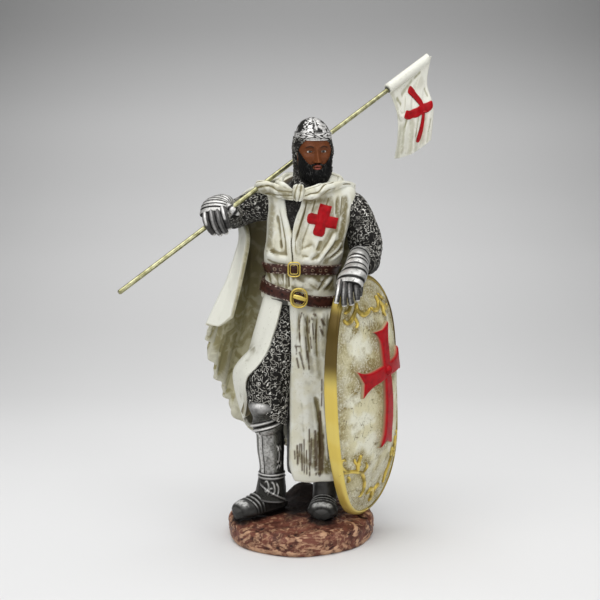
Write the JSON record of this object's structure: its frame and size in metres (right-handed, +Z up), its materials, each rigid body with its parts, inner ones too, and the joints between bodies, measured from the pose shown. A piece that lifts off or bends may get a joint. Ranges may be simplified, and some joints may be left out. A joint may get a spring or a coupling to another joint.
{
  "type": "medieval knight statue",
  "caption": "Painted resin figure of a standing crusader knight on a round rocky plinth, with a domed shield at the left side and a flag on a pole over the shoulder.",
  "frame": {"origin": "centre of the plinth's underside", "axes": "+Z up, the knight faces -Y, the shield stands on the +X side"},
  "size_m": [0.2092, 0.1684, 0.3246],
  "materials": {
    "painted_cloth": "cream paint on cast resin with an olive-brown wash in the folds",
    "shield_ground": "cracked cream paint on cast resin with an olive wash",
    "pole_metal": "plain drawn metal rod, pale brass tone",
    "flag_cloth": "cream paint on cast resin, olive in the folds",
    "red_paint": "satin red paint on raised crosses",
    "gold_paint": "gold paint with brown in the hollows",
    "mail_paint": "black paint with silver dry-brushed on carved mail rings",
    "armour_paint": "silver paint over black on plate armour",
    "belt_paint": "dark red-brown paint on carved belts",
    "skin_paint": "dark brown skin paint",
    "beard_paint": "black paint on carved beard",
    "rock_paint": "red-brown rock with tan dry-brushed high spots"
  },
  "bodies": {
    "root": {"knight_on_plinth": "painted_cloth", "shield": "shield_ground", "flag_pole": "pole_metal", "flag": "flag_cloth"}
  },
  "joints": []
}
